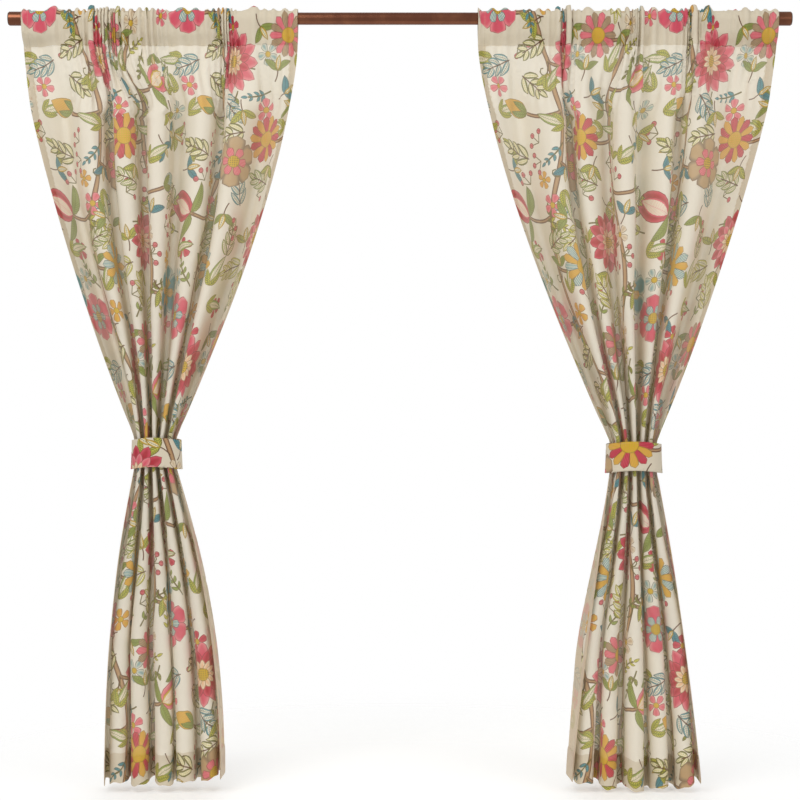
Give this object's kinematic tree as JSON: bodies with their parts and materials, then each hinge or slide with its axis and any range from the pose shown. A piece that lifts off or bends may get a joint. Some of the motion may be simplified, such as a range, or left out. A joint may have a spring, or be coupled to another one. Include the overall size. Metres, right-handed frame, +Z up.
{
  "type": "window curtains on a rod",
  "caption": "Pair of floral rod-pocket curtains held open by fabric tiebacks, gathered on a slim bronze spring tension rod that fits between the sides of a window.",
  "frame": {"origin": "centre of the left foot's wall face, on the rod's axis", "axes": "+X along the rod to the viewer's right, +Z up, the room is towards -Y"},
  "size_m": [1.62, 0.0935, 1.6066],
  "materials": {
    "rod_bronze": "copper-bronze plating over steel tube, satin, with soft lengthwise highlights",
    "tube_steel": "bright zinc-plated steel",
    "foot_rubber": "matt dark brown rubber",
    "lock_plastic": "moulded natural nylon",
    "curtain_cloth": "plain-weave ivory cotton with a printed trailing floral in crimson, pink, teal, olive and mustard",
    "touch_fastener": "ivory hook-and-loop tape"
  },
  "bodies": {
    "outer_rod": {"outer_tube": "rod_bronze", "left_end_cap": "rod_bronze", "left_end_plug": "lock_plastic", "left_foot": "foot_rubber", "guide_bushing": "lock_plastic"},
    "lock_sleeve": {"lock_sleeve": "lock_plastic"},
    "cone_nut": {"cone_nut": "lock_plastic"},
    "lock_screw": {"lock_screw": "tube_steel"},
    "right_foot": {"right_foot": "foot_rubber"},
    "inner_rod": {"inner_tube": "tube_steel", "screw_guide": "lock_plastic", "spring": "tube_steel", "spring_stop": "lock_plastic", "right_end_plug": "lock_plastic", "right_end_cap": "rod_bronze"},
    "left_panel": {"left_rod_pocket": "curtain_cloth", "left_face": "curtain_cloth", "left_outer_side_hem": "curtain_cloth", "left_inner_side_hem": "curtain_cloth", "left_bottom_hem": "curtain_cloth", "left_tieback": "curtain_cloth", "left_loop_patch": "touch_fastener", "left_hook_patch": "touch_fastener"},
    "right_panel": {"right_rod_pocket": "curtain_cloth", "right_face": "curtain_cloth", "right_outer_side_hem": "curtain_cloth", "right_inner_side_hem": "curtain_cloth", "right_bottom_hem": "curtain_cloth", "right_tieback": "curtain_cloth", "right_loop_patch": "touch_fastener", "right_hook_patch": "touch_fastener"}
  },
  "joints": [
    {"name": "rod_extend", "type": "slide", "parent": "outer_rod", "child": "lock_sleeve", "axis": [1, 0, 0], "range_m": [0, 0.28]},
    {"name": "spring_travel", "type": "slide", "parent": "lock_sleeve", "child": "right_foot", "axis": [1, 0, 0], "range_m": [-0.02, 0], "stiffness_N_per_m": 2500, "springref_m": 0.006, "deforming": ["spring"]},
    {"name": "rod_twist", "type": "hinge", "parent": "right_foot", "child": "inner_rod", "pos_m": [1, 0, 0], "axis": [1, 0, 0], "range_deg": [-720, 0]},
    {"name": "screw_turn", "type": "hinge", "parent": "lock_sleeve", "child": "lock_screw", "pos_m": [0.55, 0, 0], "axis": [1, 0, 0], "range_deg": [-720, 0]},
    {"name": "cone_feed", "type": "slide", "parent": "lock_sleeve", "child": "cone_nut", "axis": [1, 0, 0], "range_m": [-0.0041, 0]},
    {"name": "left_panel_slide", "type": "slide", "parent": "outer_rod", "child": "left_panel", "axis": [1, 0, 0], "range_m": [0, 0.17]},
    {"name": "right_panel_slide", "type": "slide", "parent": "right_foot", "child": "right_panel", "axis": [-1, 0, 0], "range_m": [0, 0.17]}
  ],
  "couplings": [
    {"joint": "screw_turn", "follows": "rod_twist", "ratio": 1},
    {"joint": "cone_feed", "follows": "rod_twist", "m_per_rad": 0.00031831}
  ]
}
